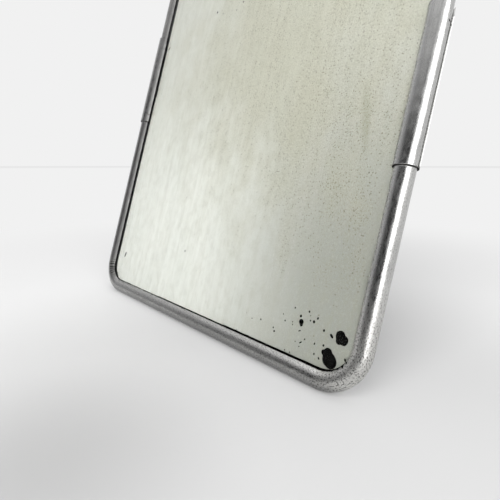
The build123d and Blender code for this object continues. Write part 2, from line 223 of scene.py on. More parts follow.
def frame_axes():
    """Half width and height of the rectangle that the frame tube's axis follows."""
    radius = sizes().tube_diameter / 2
    return (
        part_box("lower_frame_tube")[1].x - radius,
        height_up(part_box("upper_frame_tube")[1].z, radius),
    )


def joint_place(name):
    """Point on a joint's axis."""
    return Vector(next(j["pos_m"] for j in frame["joints"] if j["name"] == name))


class Graph:
    """Adds nodes to a tree, each input filled with a value or linked to a socket."""

    def __init__(self, tree):
        self.tree = tree

    def fill(self, made, inputs):
        for key, value in inputs.items():
            if isinstance(value, bpy.types.NodeSocket):
                self.tree.links.new(value, made.inputs[key])
            else:
                made.inputs[key].default_value = value

    def add(self, kind, inputs=None, **settings):
        made = self.tree.nodes.new(kind)
        for name, value in settings.items():
            setattr(made, name, value)
        self.fill(made, inputs or {})
        return made

    def math(self, operation, *values, clamp=False):
        settings = {"operation": operation, "use_clamp": clamp}
        return self.add("ShaderNodeMath", dict(enumerate(values)), **settings).outputs[0]

    def times(self, first, second):
        return self.math("MULTIPLY", first, second)

    def total(self, start, *terms):
        """A start value plus several values, each times its weight."""
        for value, weight in terms:
            start = self.math("MULTIPLY_ADD", value, weight, start)
        return start

    def vector(self, operation, *values, output="Vector"):
        made = self.add("ShaderNodeVectorMath", dict(enumerate(values)), operation=operation)
        return made.outputs[output]

    def resized(self, vector, scale):
        made = self.add("ShaderNodeVectorMath", {0: vector, "Scale": scale}, operation="SCALE")
        return made.outputs[0]

    def combined(self, x, y, z=0.0):
        return self.add("ShaderNodeCombineXYZ", {"X": x, "Y": y, "Z": z}).outputs[0]

    def scaled(self, vector, size):
        """Coordinates divided by a pattern's size in metres, alike or along each direction."""
        return self.vector("DIVIDE", vector, (size,) * 3 if isinstance(size, float) else size)

    def remap(self, value, from_low, from_high, to_low=0.0, to_high=1.0):
        inputs = {"Value": value, "From Min": from_low, "From Max": from_high}
        inputs.update({"To Min": to_low, "To Max": to_high})
        return self.add("ShaderNodeMapRange", inputs, interpolation_type="SMOOTHSTEP").outputs["Result"]

    def noise(self, vector, size, detail=2.0, roughness=0.5):
        inputs = {"Vector": self.scaled(vector, size), "Scale": 1.0, "Detail": detail}
        return self.add("ShaderNodeTexNoise", {**inputs, "Roughness": roughness}).outputs[0]

    def cells(self, vector, size, output="Distance", jitter=1.0):
        inputs = {"Vector": self.scaled(vector, size), "Scale": 1.0, "Randomness": jitter}
        return self.add("ShaderNodeTexVoronoi", inputs).outputs[output]

    def mix(self, share, first, second):
        inputs = {"Factor": share, 6: first, 7: second}
        return self.add("ShaderNodeMix", inputs, data_type="RGBA").outputs[2]

    def coats(self, base, *coats):
        """Base colour with others laid over it, each with its share, strength and colour."""
        for share, strength, colour_over in coats:
            base = self.mix(self.times(share, strength), base, colour_over)
        return base


def rgba(value, strength=1.0):
    return (value[0] * strength, value[1] * strength, value[2] * strength, 1.0)


def new_material(name):
    """Empty node material with a Principled shader wired to its output."""
    material = bpy.data.materials.new(name)
    material.use_nodes = True
    material.node_tree.nodes.clear()
    graph = Graph(material.node_tree)
    shader = graph.add("ShaderNodeBsdfPrincipled")
    graph.add("ShaderNodeOutputMaterial", {"Surface": shader.outputs["BSDF"]})
    return material, graph, shader


def surface_mix(graph, share, first, second):
    """Wires a mix of two shaders to the material's output."""
    mixed = graph.add("ShaderNodeMixShader", {0: share, 1: first, 2: second})
    output = next(n for n in graph.tree.nodes if n.bl_idname == "ShaderNodeOutputMaterial")
    graph.fill(output, {"Surface": mixed.outputs[0]})


def bump(graph, height, distance, strength=1.0):
    inputs = {"Height": height, "Distance": distance, "Strength": strength}
    return graph.add("ShaderNodeBump", inputs).outputs["Normal"]


def object_metres(graph):
    return graph.add("ShaderNodeTexCoord").outputs["Object"]


def mirror_metres(graph):
    """Metres across, up the mirror and towards the viewer, from Object coordinates."""
    place = mirror_matrix()
    inputs = {"Vector": object_metres(graph), "Location": place.translation, "Rotation": place.to_euler()}
    return graph.add("ShaderNodeMapping", inputs, vector_type="TEXTURE").outputs["Vector"]


def attribute(graph, name, output="Fac"):
    return graph.add("ShaderNodeAttribute", attribute_name=name).outputs[output]


def tube_metal(name, tint, roughness, pit_share):
    """Drawn aluminium with fine streaks along the tube, pits and dirt specks, and painted shade in its folds,
    under the sleeves' edges, at its ends, on its inner wall, beside the left lip and on its underside.
    """
    grime_and_shade = rgba(finish().grime_and_shade)
    material, graph, shader = new_material(name)
    skin, place = attribute(graph, "UVMap", "Vector"), object_metres(graph)
    ways = graph.add("ShaderNodeSeparateXYZ", {"Vector": mirror_metres(graph)}).outputs
    streaks = graph.noise(skin, (0.03, 0.00022, 1.0), 3.0, 0.65)
    scuffs = graph.noise(skin, (0.004, 0.0011, 1.0), 4.0, 0.7)
    clouds = graph.noise(place, 0.011, 3.0)
    grains = graph.noise(place, 0.00042, 2.0, 0.7)
    chosen = graph.math("LESS_THAN", graph.cells(place, 0.0017, "Color"), pit_share)
    pits = graph.times(graph.remap(graph.cells(place, 0.0017), 0.10, 0.17, 1.0, 0.0), chosen)
    lip = attribute(graph, "lip_wear")
    # Painted shade on the left tube beside its lip, which darkens the lamp's highlight there
    shaded = graph.remap(attribute(graph, "from_lip"), 0.0012, 0.0045, 1.0, 0.0)
    shaded = graph.times(shaded, graph.remap(ways["X"], -0.088, -0.082, 1.0, 0.0))
    # Painted shade: the lower tube darkens towards its underside, next to the table
    underside_shade = graph.remap(ways["Y"], -0.004, 0.0025, 1.0, 0.0)
    # Dirt specks along the worn lip
    speckle = graph.noise(skin, (0.0007, 0.0005, 1.0), 3.0)
    darkened = graph.times(graph.remap(speckle, 0.51, 0.61), lip)
    folds = graph.remap(attribute(graph, "fold_valley"), 0.12, 0.5)
    ends, hidden = attribute(graph, "end_shade"), attribute(graph, "inner_skin")
    base = graph.coats(
        rgba(tint),
        (graph.remap(clouds, 0.35, 0.68), 1.0, rgba(tint, 0.86)),
        (graph.remap(streaks, 0.35, 0.75), 0.35, rgba(tint, 0.62)),
        (lip, 0.45, (0.80, 0.79, 0.75, 1.0)),
        (underside_shade, 0.85, rgba(tint, 0.28)),
        (shaded, 0.5, grime_and_shade),
        (pits, 0.85, grime_and_shade),
        (darkened, 0.8, grime_and_shade),
        # Painted shade in the folds' valleys
        (folds, 0.93, grime_and_shade),
        # Painted shade: dark rings under the sleeves' lower edges, and dark tube and sleeve ends
        (ends, 0.97, grime_and_shade),
        # Painted shade on the tube's inner wall
        (hidden, 0.9, grime_and_shade),
    )
    # The places with painted shade lose their metal and turn rough
    dull = graph.math("MAXIMUM", hidden, ends)
    uneven = graph.remap(scuffs, 0.3, 0.75, -0.07, 0.12)
    height = graph.total(0.0, (streaks, 0.35), (grains, 0.22), (pits, -2.5), (darkened, -1.2))
    graph.fill(shader, {
        "Base Color": base,
        "Metallic": graph.total(1.0, (dull, -0.9)),
        "Roughness": graph.total(roughness, (uneven, 1.0), (lip, 0.12), (shaded, 0.3), (dull, 0.5)),
        "Specular IOR Level": 0.1,
        "Normal": bump(graph, height, 0.000025, 0.6),
    })
    return material


def sheet_metal(name, tint, roughness, rust_share, grain=(0.0006, 0.02, 0.0006)):
    """Plated sheet or wire with rolled grain, cloudy dulling, scratches and a little rust."""
    colours = finish()
    material, graph, shader = new_material(name)
    place = mirror_metres(graph)
    rolled = graph.noise(place, grain, 3.0, 0.6)
    clouds = graph.noise(place, 0.02, 5.0, 0.6)
    spangle = graph.noise(place, 0.0028, 1.0)
    specks = graph.remap(graph.cells(place, 0.0046), 0.05, 0.11, 1.0, 0.0)
    scratches = graph.remap(graph.cells(place, (0.013, 0.0012, 0.013)), 0.012, 0.035, 1.0, 0.0)
    rust = graph.times(graph.remap(graph.noise(place, 0.009, 6.0, 0.7), 0.66, 0.74), rust_share)
    base = graph.coats(
        rgba(tint, 1.08),
        (graph.remap(clouds, 0.3, 0.7), 1.0, rgba(tint, 0.78)),
        (graph.remap(spangle, 0.4, 0.6), 0.22, rgba(tint, 1.3)),
        (rolled, 0.3, rgba(tint, 0.6)),
        (specks, 0.55, rgba(colours.grime_and_shade)),
        (scratches, 0.35, rgba(tint, 1.5)),
        (rust, 1.0, rgba(colours.rust)),
    )
    uneven = graph.remap(clouds, 0.3, 0.7, -0.06, 0.12)
    height = graph.total(0.0, (rolled, 0.5), (scratches, -1.0), (specks, -0.8))
    graph.fill(shader, {
        "Base Color": base,
        "Metallic": graph.total(1.0, (rust, -0.9)),
        "Roughness": graph.total(roughness, (uneven, 1.0), (rust, 0.4)),
        "Normal": bump(graph, height, 0.00003, 0.6),
    })
    return material


def ellipse_mask(graph, place, centre, radii, turn, edge_noise, softness):
    """One inside a turned ellipse on the mirror's plane, falling to zero outside, in metres."""
    inputs = {"Vector": place, "Location": (*centre, 0.0), "Rotation": (0.0, 0.0, radians(turn))}
    inputs["Scale"] = (*radii, 1000.0)
    local = graph.add("ShaderNodeMapping", inputs, vector_type="TEXTURE").outputs["Vector"]
    reach = graph.math("ADD", graph.vector("LENGTH", local, output="Value"), edge_noise)
    return graph.remap(reach, 1.0 - softness, 1.0 + softness, 1.0, 0.0)


def old_silver(name):
    """Hazy silvering with upright streaks, a yellow stain, dense pits and a chain of dots."""
    colours = finish()
    material, graph, shader = new_material(name)
    place = mirror_metres(graph)
    ways = graph.add("ShaderNodeSeparateXYZ", {"Vector": place}).outputs
    wander = graph.noise(place, (0.018, 0.03, 0.02), 5.0)
    wander = graph.times(graph.math("SUBTRACT", wander, 0.5), 2.2)
    streaks = graph.noise(place, (0.0028, 0.06, 1.0), 5.0, 0.7)
    fine = graph.noise(place, (0.0009, 0.0016, 1.0), 4.0, 0.75)
    mottle = graph.noise(place, (0.0045, 0.007, 1.0), 5.0, 0.7)
    grit = graph.noise(place, (0.00055, 0.0007, 1.0), 3.0, 0.8)
    stain = ellipse_mask(graph, place, (0.022, 0.150), (0.062, 0.070), 8.0, wander, 0.75)
    pitted = ellipse_mask(graph, place, (0.060, 0.112), (0.038, 0.066), 10.0, wander, 0.6)
    pitted = graph.math("MAXIMUM", pitted, graph.times(stain, 0.7))
    olive = ellipse_mask(graph, place, (0.0765, 0.1), (0.0016, 0.012), 13.0, wander, 0.8)
    chain_band = ellipse_mask(graph, place, (0.0816, 0.088), (0.0007, 0.0135), 11.0, 0.0, 0.3)
    grit_share = graph.times(graph.remap(grit, 0.42, 0.66), graph.remap(pitted, 0.0, 1.0, 0.14, 0.55))
    grain_size = (0.00085, 0.00105, 1.0)
    ragged = graph.total(graph.cells(place, grain_size), (grit, 0.5))
    gathered = graph.remap(streaks, 0.42, 0.6, 0.35, 1.2)
    wanted = graph.times(graph.remap(pitted, 0.0, 1.0, 0.06, 0.85), gathered)
    chosen = graph.math("LESS_THAN", graph.cells(place, grain_size, "Color"), wanted)
    grain = graph.times(graph.remap(ragged, 0.42, 0.62, 1.0, 0.0), chosen)
    grain = graph.times(grain, graph.remap(fine, 0.35, 0.6, 0.3, 1.0))
    chain = graph.cells(place, (0.0016, 0.0019, 1.0), jitter=0.7)
    chain = graph.times(graph.remap(chain, 0.18, 0.3, 1.0, 0.0), chain_band)
    base = graph.coats(
        rgba(colours.silver),
        # Painted reflection: darker towards the right
        (graph.remap(ways["X"], -0.018, 0.085), 1.0, rgba(colours.shaded_silver)),
        (graph.remap(ways["Y"], 0.04, 0.165), 1.0, rgba(colours.worn_silver)),
        (stain, 0.5, rgba(colours.stain)),
        (graph.remap(streaks, 0.35, 0.7), 0.16, rgba(colours.stain, 0.72)),
        (graph.remap(mottle, 0.42, 0.66), 0.16, rgba(colours.stain, 0.68)),
        (olive, 0.3, (0.22, 0.20, 0.11, 1.0)),
        (grit_share, 1.0, (0.29, 0.265, 0.19, 1.0)),
        (graph.remap(fine, 0.5, 0.72), 0.12, rgba(colours.silver, 1.05)),
        (grain, 0.8, (0.13, 0.11, 0.065, 1.0)),
        (chain, 0.8, (0.06, 0.055, 0.04, 1.0)),
    )
    uneven = graph.remap(streaks, 0.3, 0.7, -0.03, 0.05)
    graph.fill(shader, {
        "Base Color": base,
        "Metallic": 0.12,
        "Roughness": graph.total(0.38, (uneven, 1.0), (stain, 0.08)),
        "Normal": bump(graph, graph.total(0.0, (fine, 0.4), (grain, -1.0)), 0.00002, 0.4),
    })
    return material


def clear_glass(name):
    """Clear glass, very slightly green, with faint wiping marks in its tint."""
    material, graph, shader = new_material(name)
    wiped = graph.noise(mirror_metres(graph), (0.02, 0.05, 0.02), 4.0, 0.6)
    wiped = graph.remap(wiped, 0.3, 0.7)
    graph.fill(shader, {
        "Base Color": graph.mix(wiped, (0.985, 0.995, 0.985, 1.0), (0.97, 0.985, 0.975, 1.0)),
        "Roughness": 0.0,
        "IOR": 1.5,
        "Transmission Weight": 1.0,
        "Specular Tint": (0.06, 0.06, 0.06, 1.0),
    })
    return material


def black_card(name):
    """Black fibrous card behind the silver."""
    material, graph, shader = new_material(name)
    fibres = graph.noise(mirror_metres(graph), (0.0004, 0.0016, 0.001), 4.0, 0.7)
    pale_fibres = graph.remap(fibres, 0.35, 0.7)
    graph.fill(shader, {
        "Base Color": graph.mix(pale_fibres, (0.002, 0.002, 0.002, 1.0), (0.006, 0.0055, 0.005, 1.0)),
        "Roughness": 0.9,
        "Specular IOR Level": 0.05,
        "Normal": bump(graph, fibres, 0.00005, 0.5),
    })
    return material


def shade_edges(mesh, angle):
    """Smooth shading that keeps corners sharper than the angle."""
    mesh.shade_smooth()
    mesh.set_sharp_from_angle(angle=radians(angle))


def new_piece(name, data, material=None):
    """Object at the origin for a mesh in its finish, or for a curve, a lamp or the camera."""
    piece = bpy.data.objects.new(name, data)
    bpy.context.scene.collection.objects.link(piece)
    if material is not None:
        data.materials.clear()
        data.materials.append(material)
    return piece


def hand_over(piece, body, nodes):
    """Tells the frame what a piece rides on and stands for."""
    if not piece.data.polygons:
        raise RuntimeError(f"{piece.name} came out empty")
    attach(piece, body)
    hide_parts(*nodes)


def baked(piece):
    """Turns a piece's modifiers into its plain mesh."""
    graph = bpy.context.evaluated_depsgraph_get()
    mesh = bpy.data.meshes.new_from_object(
        piece.evaluated_get(graph), preserve_all_data_layers=True, depsgraph=graph
    )
    piece.modifiers.clear()
    piece.data = mesh
    mesh.name = piece.name
    return mesh


def finished(shell, name):
    """Plain mesh of an edited shell, whose faces are turned outwards first."""
    bmesh.ops.recalc_face_normals(shell, faces=shell.faces)
    mesh = bpy.data.meshes.new(name)
    shell.to_mesh(mesh)
    shell.free()
    return mesh


def faces_outwards(mesh):
    """Turns the faces of a closed mesh outwards."""
    shell = bmesh.new()
    shell.from_mesh(mesh)
    bmesh.ops.remove_doubles(shell, verts=shell.verts, dist=1e-7)
    bmesh.ops.recalc_face_normals(shell, faces=shell.faces)
    shell.to_mesh(mesh)
    shell.free()


def settle(piece, source, matrix, angle):
    """Makes a piece's mesh plain, drops the object it was made from, and puts it in its place."""
    mesh = baked(piece)
    bpy.data.objects.remove(source)
    faces_outwards(mesh)
    mesh.transform(matrix)
    shade_edges(mesh, angle)


def graded(run, coarse, fine):
    """Distances along a straight run, closer together near its ends."""
    near = min(0.008, run / 3)
    marks = [0.0]
    for span, step in ((near, fine), (run - 2 * near, coarse), (near, fine)):
        count, start = max(1, round(span / step)), marks[-1]
        marks += [start + span * (k + 1) / count for k in range(count)]
    return marks


def rounded_path(corners, radii, coarse, fine, closed=False):
    """Points along straight runs and tangent arcs, the distance of each, and the arcs' ends."""
    corners = [Vector(c) for c in corners]
    count = len(corners)
    arcs = []
    for k, corner in enumerate(corners):
        if not closed and k in (0, count - 1):
            arcs.append((corner, corner, None))
            continue
        radius = radii[k]
        to_last = (corners[k - 1] - corner).normalized()
        to_next = (corners[(k + 1) % count] - corner).normalized()
        half = to_last.angle(to_next) / 2
        reach = radius / tan(half)
        centre = corner + (to_last + to_next).normalized() * (radius / sin(half))
        arcs.append((corner + to_last * reach, corner + to_next * reach, centre))
    points, marks, bends = [], [], []

    def put(point):
        step = (point - points[-1]).length if points else 0.0
        if points and step < 1e-7:
            return
        points.append(point)
        marks.append(marks[-1] + step if marks else 0.0)

    for k in range(count):
        start, end, centre = arcs[k]
        put(start)
        if centre is not None:
            first, last = start - centre, end - centre
            turn = first.angle(last)
            steps = max(6, round(turn * first.length / fine))
            bend_start = marks[-1]
            for j in range(1, steps + 1):
                share = j / steps
                put(centre + first.slerp(last, share) * first.length)
            bends.append((bend_start, marks[-1]))
        if k < count - 1 or closed:
            following = arcs[(k + 1) % count]
            run = following[0] - end
            if run.length > 1e-6:
                for mark in graded(run.length, coarse, fine)[1:]:
                    put(end + run * (mark / run.length))
    if closed:
        points.pop()
        marks.pop()
    return points, marks, bends


def line_mesh(name, points, closed, values):
    """Mesh of one line, with float attributes on its points."""
    mesh = bpy.data.meshes.new(name)
    edges = [(k, k + 1) for k in range(len(points) - 1)]
    if closed:
        edges.append((len(points) - 1, 0))
    mesh.from_pydata([tuple(p) for p in points], edges, [])
    for key, numbers in values.items():
        layer = mesh.attributes.new(key, "FLOAT", "POINT")
        layer.data.foreach_set("value", numbers)
    return mesh


def slit_section(diameter, wall, slit, step):
    """Outline of a slit tube's wall, opening to -X, from the middle of its inner side."""
    outer = diameter / 2
    inner = outer - wall
    lip_out, lip_in = asin(slit / 2 / outer), asin(slit / 2 / inner)
    chamfer = 0.18 * wall
    rows = []

    def arc(radius, start, end, skin):
        count = max(2, round(abs(end - start) * radius / step))
        for k in range(count + 1):
            rows.append((radius, start + (end - start) * k / count, skin))

    def lip(turned):
        """Flat edge of the sheet, from its inner to its outer skin, or back on the other side."""
        for share in (0.8, 0.2) if turned else (0.2, 0.8):
            across = inner * cos(lip_in) + (outer * cos(lip_out) - inner * cos(lip_in)) * share
            turn = atan2(slit / 2, across)
            rows.append((slit / 2 / sin(turn), 2 * pi - turn if turned else turn, share))

    arc(inner, pi, lip_in + chamfer / inner, 0.0)
    lip(False)
    arc(outer, lip_out + chamfer / outer, 2 * pi - lip_out - chamfer / outer, 1.0)
    lip(True)
    arc(inner, 2 * pi - lip_in - chamfer / inner, pi, 0.0)
    rows.pop()
    points = [(-r * cos(a), -r * sin(a), 0.0) for r, a, skin in rows]
    around = [(a - lip_out) * outer for r, a, skin in rows]
    whole = (2 * pi - 2 * lip_out) * outer
    from_lip = [max(0.0, min(s, whole - s)) for s in around]
    values = {
        "around": around,
        "skin": [skin for r, a, skin in rows],
        "from_lip": from_lip,
        "lip_hold": [exp(-d / 0.0011) for d in from_lip],
        "front_side": [float(a < pi) for r, a, skin in rows],
        "inner_skin": [float(skin == 0.0) for r, a, skin in rows],
    }
    return line_mesh("slit_section", points, True, values)


def round_section(diameter, sides):
    """Outline of a round wire."""
    radius = diameter / 2
    turns = [2 * pi * k / sides for k in range(sides)]
    points = [(radius * cos(a), radius * sin(a), 0.0) for a in turns]
    zeros = [0.0] * sides
    values = {
        "around": [radius * a for a in turns],
        "skin": [1.0] * sides,
        "from_lip": [1.0] * sides,
        "lip_hold": zeros,
        "front_side": zeros,
        "inner_skin": zeros,
    }
    return line_mesh("round_section", points, True, values)


def new_tree(name, *inputs):
    """Node tree for geometry with named inputs: the tree, its graph and the inputs' sockets."""
    tree = bpy.data.node_groups.new(name, "GeometryNodeTree")
    for title, kind in (("Geometry", "Geometry"), *inputs):
        tree.interface.new_socket(title, in_out="INPUT", socket_type="NodeSocket" + kind)
    tree.interface.new_socket("Geometry", in_out="OUTPUT", socket_type="NodeSocketGeometry")
    graph = Graph(tree)
    return tree, graph, graph.add("NodeGroupInput").outputs


def tree_end(graph, geometry, material):
    """Realizes the instances, sets the material and wires both to the tree's output."""
    whole = graph.add("GeometryNodeRealizeInstances", {"Geometry": geometry}).outputs["Geometry"]
    painted = graph.add("GeometryNodeSetMaterial", {"Geometry": whole, "Material": material})
    graph.add("NodeGroupOutput", {0: painted.outputs[0]})


def sweep_tree():
    """Node tree that sweeps a section along a line and gives it folds, dents and nicks."""
    lengths = ("Fold depth", "Fold length", "Dent depth", "Dent size", "Mouth flare")
    tree, graph, given = new_tree(
        "Formed tube", ("Section", "Object"), *((name, "Float") for name in lengths),
        ("Seed", "Int"), ("Material", "Material"),
    )

    def named(name, kind="FLOAT"):
        made = graph.add("GeometryNodeInputNamedAttribute", {"Name": name}, data_type=kind)
        return made.outputs["Attribute"]

    def stored(geometry, name, value, kind="FLOAT", domain="POINT"):
        inputs = {"Geometry": geometry, "Name": name, "Value": value}
        settings = {"data_type": kind, "domain": domain}
        return graph.add("GeometryNodeStoreNamedAttribute", inputs, **settings).outputs["Geometry"]

    line = graph.add("GeometryNodeMeshToCurve", {"Mesh": given["Geometry"]}).outputs["Curve"]
    line = graph.add("GeometryNodeSetCurveNormal", {"Curve": line}, mode="Z_UP").outputs["Curve"]
    position = graph.add("GeometryNodeInputPosition").outputs["Position"]
    tangent = graph.add("GeometryNodeInputTangent").outputs["Tangent"]
    line = stored(line, "centre", position, "FLOAT_VECTOR")
    line = stored(line, "run", tangent, "FLOAT_VECTOR")
    section = graph.add("GeometryNodeObjectInfo", {"Object": given["Section"]}).outputs["Geometry"]
    section = graph.add("GeometryNodeMeshToCurve", {"Mesh": section}).outputs["Curve"]
    inputs = {"Curve": line, "Profile Curve": section, "Fill Caps": True}
    wall = graph.add("GeometryNodeCurveToMesh", inputs).outputs["Mesh"]

    # Distances along and around the tube, and each point's place about the axis
    centre, run = named("centre", "FLOAT_VECTOR"), named("run", "FLOAT_VECTOR")
    along, around, skin = named("along"), named("around"), named("skin")
    where = graph.combined(along, around, graph.times(given["Seed"], 3.7))
    offset = graph.vector("SUBTRACT", position, centre)
    radius = graph.vector("LENGTH", offset, output="Value")

    # Shallow dents, and folds gathered beside the lips
    dents = graph.noise(where, graph.combined(given["Dent size"], given["Dent size"], 1.0), 2.0)
    dents = graph.times(graph.remap(dents, 0.45, 0.8), given["Dent depth"])
    uneven = graph.noise(where, graph.combined(given["Fold length"], 0.004, 1.0), 1.5)
    phase = graph.total(graph.math("DIVIDE", along, given["Fold length"]), (uneven, 1.1))
    wave = graph.math("ABSOLUTE", graph.math("SINE", graph.times(phase, pi)))
    valley = graph.math("POWER", graph.math("SUBTRACT", 1.0, wave), 1.3)
    reach = graph.remap(named("from_lip"), 0.0015, 0.0068, 1.0, 0.0)
    fold = graph.times(graph.times(valley, reach), named("folded"))
    sunk = graph.times(graph.total(dents, (fold, given["Fold depth"])), skin)

    # Mouths opened from inside, and lips turned back where they are torn or cut
    open_mouth = graph.times(named("mouth"), graph.math("SUBTRACT", 1.0, skin))
    grown = graph.math("SUBTRACT", radius, sunk)
    grown = graph.total(grown, (open_mouth, given["Mouth flare"]))
    front = named("front_side")
    cut = graph.total(named("cutback"), (named("nick"), front))
    side = graph.math("SUBTRACT", graph.times(front, 2.0), 1.0)
    angle = graph.times(graph.times(cut, named("lip_hold")), side)
    inputs = {"Vector": offset, "Axis": run, "Angle": angle}
    turned = graph.add("ShaderNodeVectorRotate", inputs, rotation_type="AXIS_ANGLE").outputs[0]
    turned = graph.resized(turned, graph.math("DIVIDE", grown, radius))
    wall = stored(wall, "fold_valley", fold)
    inputs = {"Geometry": wall, "Position": graph.vector("ADD", centre, turned)}
    wall = graph.add("GeometryNodeSetPosition", inputs).outputs["Geometry"]
    wall = stored(wall, "UVMap", graph.combined(along, around), "FLOAT2", "CORNER")
    for name in ("centre", "run"):
        inputs = {"Geometry": wall, "Name": name}
        wall = graph.add("GeometryNodeRemoveAttribute", inputs).outputs["Geometry"]
    tree_end(graph, wall, given["Material"])
    return tree


def shared_tree(name, builder):
    """Node tree of a name, built the first time that it is asked for."""
    return bpy.data.node_groups.get(name) or builder()


def with_inputs(piece, tree, inputs):
    """Adds a node modifier and sets its inputs by their identifiers."""
    modifier = piece.modifiers.new(tree.name, "NODES")
    modifier.node_group = tree
    for item in tree.interface.items_tree:
        if item.item_type == "SOCKET" and item.in_out == "INPUT" and item.name in inputs:
            modifier[item.identifier] = inputs[item.name]


def swept(name, line, section_mesh, material, matrix, **inputs):
    """Piece of one section swept along a line, as a plain mesh placed in the row frame."""
    section = new_piece(name + "_section", section_mesh)
    piece = new_piece(name, line)
    values = {
        "Section": section,
        "Fold depth": 0.0,
        "Fold length": 0.002,
        "Dent depth": 0.0,
        "Dent size": 0.006,
        "Mouth flare": 0.0,
        "Seed": studio().seed,
        "Material": material,
    }
    values.update({key.replace("_", " ").capitalize(): value for key, value in inputs.items()})
    with_inputs(piece, shared_tree("Formed tube", sweep_tree), values)
    settle(piece, section, matrix, 40.0)
    return piece


def tube_line(name, corners, radii, cuts=None, folds=None, nicks=None, rings=(), coarse=0.0012):
    """Line of a frame tube, with its folds, nicks, mouths and cut lips marked on its points."""
    points, marks, bends = rounded_path(corners, radii, coarse, 0.0003)
    total = marks[-1]
    ends = [max(0.0, 1.0 - min(m, total - m) / 0.0012) for m in marks]

    def darkened(place, end):
        """Whether a point gets painted shade: under a sleeve's lower edge, or at an end where no sleeve sits.
        """
        if rings:
            return any(abs(place.x - x) < 0.001 and -0.0004 < up - place.y < 0.0006 for x, up in rings)
        return end > 0.78

    values = {
        "along": marks,
        "folded": [folds(m, bends) if folds else 0.0 for m in marks],
        "nick": [nicks(m, bends) if nicks else 0.0 for m in marks],
        "mouth": ends,
        "end_shade": [float(darkened(p, e)) for p, e in zip(points, ends)],
        "cutback": [cuts(m, total) if cuts else 0.0 for m in marks],
        "lip_wear": [lip_wear(m, bends) for m in marks],
    }
    return line_mesh(name, points, False, values)


def lip_wear(mark, bends):
    """How worn the front lip is: most round the last bend and along the bottom."""
    if len(bends) < 2:
        return 0.15
    start, end = bends[-1]
    if mark < bends[0][0]:
        return 0.1
    if mark < start:
        return 0.35 + 0.35 * (mark - bends[0][0]) / (start - bends[0][0])
    return max(0.3, 1.0 - max(0.0, mark - end) / 0.04)


def folds_of_left_bend(mark, bends):
    """Strength of the folds, which gather in the first part of the lower left bend."""
    start, end = bends[0]
    middle = start + 0.30 * (end - start)
    return exp(-(((mark - middle) / (0.30 * (end - start))) ** 2))


def nicks_of_right_bend(mark, bends):
    """Angle that the front lip is torn back by, round the lower right bend."""
    start, end = bends[-1]
    radius = sizes().tube_diameter / 2
    deepest = 0.0
    for angle, half_width, depth in LIP_NICKS:
        place = start + (end - start) * angle / 90.0
        inside = min(1.0, 1.5 - 1.5 * abs(mark - place) / (half_width * 0.001))
        deepest = max(deepest, inside * depth * 0.001 / radius)
    rag = 0.00018 * max(0.0, noise.noise(Vector((mark / 0.0009, 0.0, 0.0))))
    near = exp(-(((mark - (start + end) / 2) / 0.012) ** 2))
    return deepest + rag * near / radius


def make_frame_tubes():
    """Two bent halves of slit tube that meet inside the sleeves."""
    s = sizes()
    matrix = mirror_matrix()
    half, height = frame_axes()
    reach = s.tube_diameter / 2 * FRONT.z
    lower_end = height_up(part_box("lower_frame_tube")[1].z, reach)
    upper_end = height - lower_end
    section = (s.tube_diameter, s.tube_wall, s.tube_slit)
    metal = tube_metal("Worn frame aluminium", finish().aluminium, 0.24, 0.16)
    radii = [0.0, s.bend_radius, s.bend_radius, 0.0]
    corners = [(-half, lower_end, 0), (-half, 0, 0), (half, 0, 0), (half, lower_end, 0)]
    rings = [
        (side * half, height_up(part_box(name)[0].z, -s.sleeve_diameter / 2 * FRONT.z))
        for name, side in (("left_sleeve", -1), ("right_sleeve", 1))
    ]
    line = tube_line(
        "lower_line", corners, radii, folds=folds_of_left_bend, nicks=nicks_of_right_bend,
        rings=rings, coarse=0.0005,
    )
    lower = swept(
        "lower_tube", line, slit_section(*section, 0.0005), metal, matrix,
        fold_depth=s.fold_depth, fold_length=s.fold_length, dent_depth=s.dent_depth,
    )
    hand_over(lower, "mirror", ["lower_frame_tube"])
    corners = [(half, upper_end, 0), (half, height, 0), (-half, height, 0), (-half, upper_end, 0)]
    line = tube_line("upper_line", corners, radii)
    upper = swept(
        "upper_tube", line, slit_section(*section, 0.0006), metal, matrix,
        dent_depth=s.dent_depth, seed=studio().seed + 4,
    )
    hand_over(upper, "mirror", ["upper_frame_tube"])


def make_sleeves():
    """Two split sleeves on the side tubes, with their slits turned inwards."""
    s = sizes()
    matrix = mirror_matrix()
    half = frame_axes()[0]
    radius = s.sleeve_diameter / 2
    metal = tube_metal("Worn sleeve aluminium", finish().aluminium, 0.20, 0.05)

    def cuts(mark, total):
        share = max(0.0, 1.0 - mark / s.sleeve_cut_height)
        return share * s.sleeve_cutback / radius

    def creases(mark, bends):
        return 0.12 + 0.4 * max(0.0, noise.noise(Vector((mark / 0.012, 5.0, 0.0))))

    for name, side in (("left_sleeve", -1), ("right_sleeve", 1)):
        low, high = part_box(name)
        reach = radius * FRONT.z
        bottom, top = height_up(low.z, -reach), height_up(high.z, reach)
        ends = [(side * half, top, 0), (side * half, bottom, 0)]
        folds = creases if side < 0 else None
        line = tube_line(name + "_line", ends, [0.0, 0.0], cuts=cuts, folds=folds)
        piece = swept(
            name + "_clip", line, slit_section(s.sleeve_diameter, s.sleeve_wall, s.sleeve_slit, 0.0005),
            metal, matrix, fold_depth=s.crease_depth, fold_length=s.crease_length,
            dent_depth=s.sleeve_dent, dent_size=0.009, mouth_flare=s.sleeve_flare,
            seed=studio().seed + side,
        )
        hand_over(piece, name, [name])


def rounded_outline(half_width, bottom, top, radius, step):
    """Points round a rectangle with round corners, anticlockwise from the bottom left."""
    corners = [(-half_width, bottom, 0), (half_width, bottom, 0), (half_width, top, 0), (-half_width, top, 0)]
    return rounded_path(corners, [radius] * 4, step, step, closed=True)[0]


